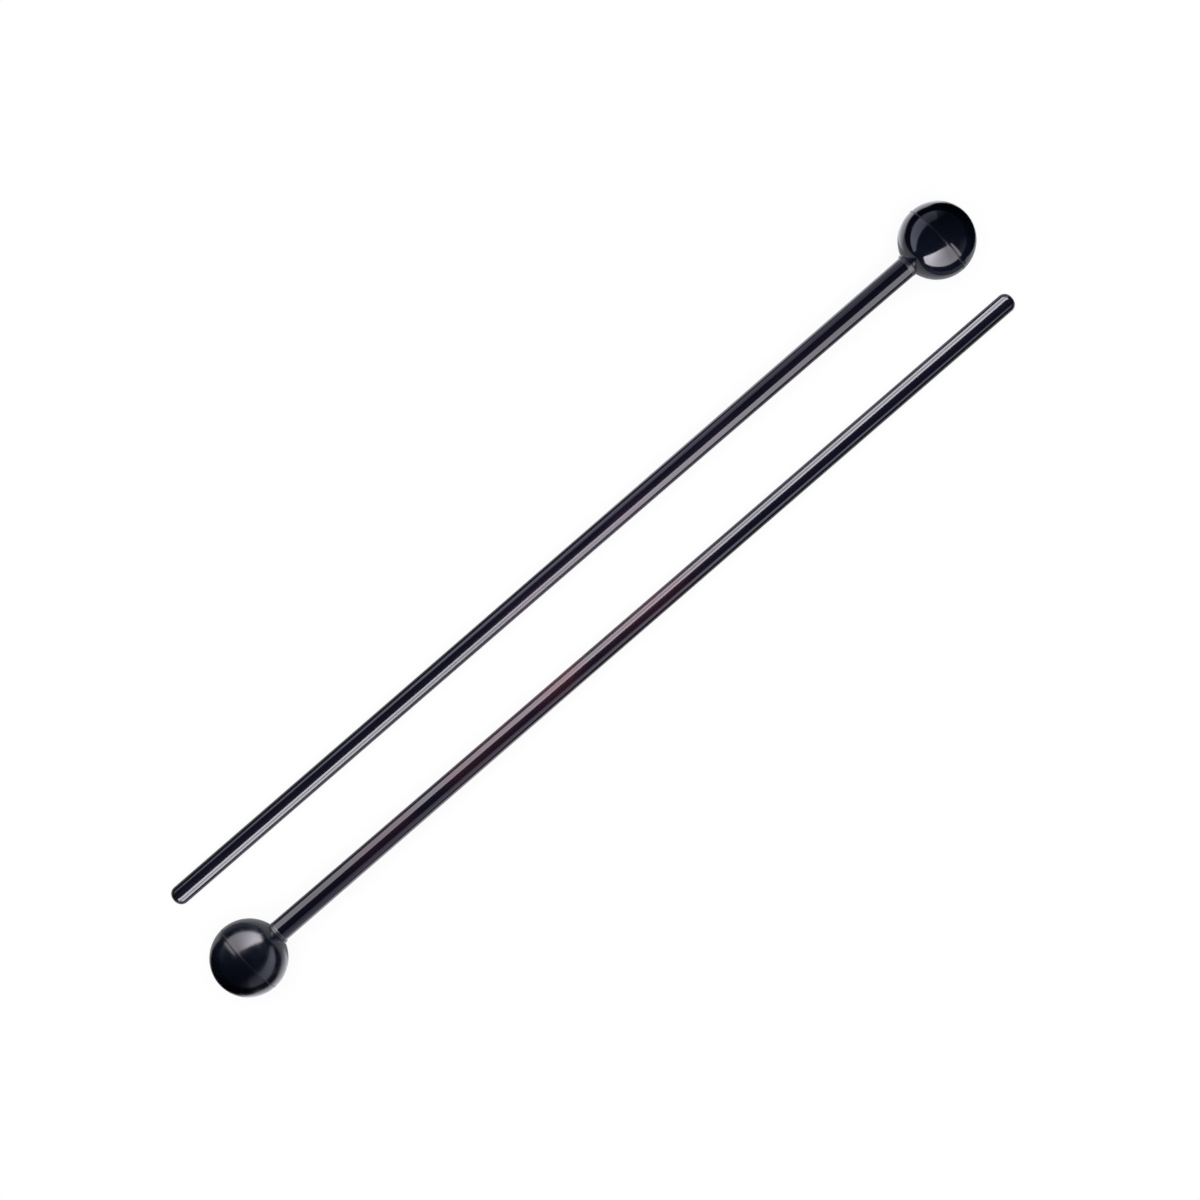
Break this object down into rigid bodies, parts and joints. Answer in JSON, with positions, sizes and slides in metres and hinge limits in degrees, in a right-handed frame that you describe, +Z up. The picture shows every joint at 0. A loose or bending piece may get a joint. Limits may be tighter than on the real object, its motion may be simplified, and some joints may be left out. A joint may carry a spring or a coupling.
{
  "type": "percussion mallet pair",
  "caption": "Ball-headed mallets for a glockenspiel or xylophone: a glossy moulded ball glued on a slim tapered shaft, laid head to tail as a pair.",
  "frame": {"origin": "on the table under the middle of the pair, the centre of the base of the whole part's box", "axes": "+X along the mallets towards the head of mallet 1, +Y from mallet 2 to mallet 1, +Z up from the table"},
  "size_m": [0.2712, 0.0438, 0.0201],
  "materials": {
    "head_plastic": "polished black moulding",
    "shaft_plastic": "glossy plum-black moulding with fine lengthwise lines",
    "glue": "cured dark adhesive"
  },
  "bodies": {
    "mallet_1": {"head_1": "head_plastic", "shaft_1": "shaft_plastic", "glue_1": "glue"},
    "mallet_2": {"head_2": "head_plastic", "shaft_2": "shaft_plastic", "glue_2": "glue"}
  },
  "joints": [
    {"name": "mallet_2_lift", "type": "slide", "parent": "mallet_1", "child": "mallet_2", "axis": [0, 0, 1], "range_m": [0, 0.15]}
  ]
}
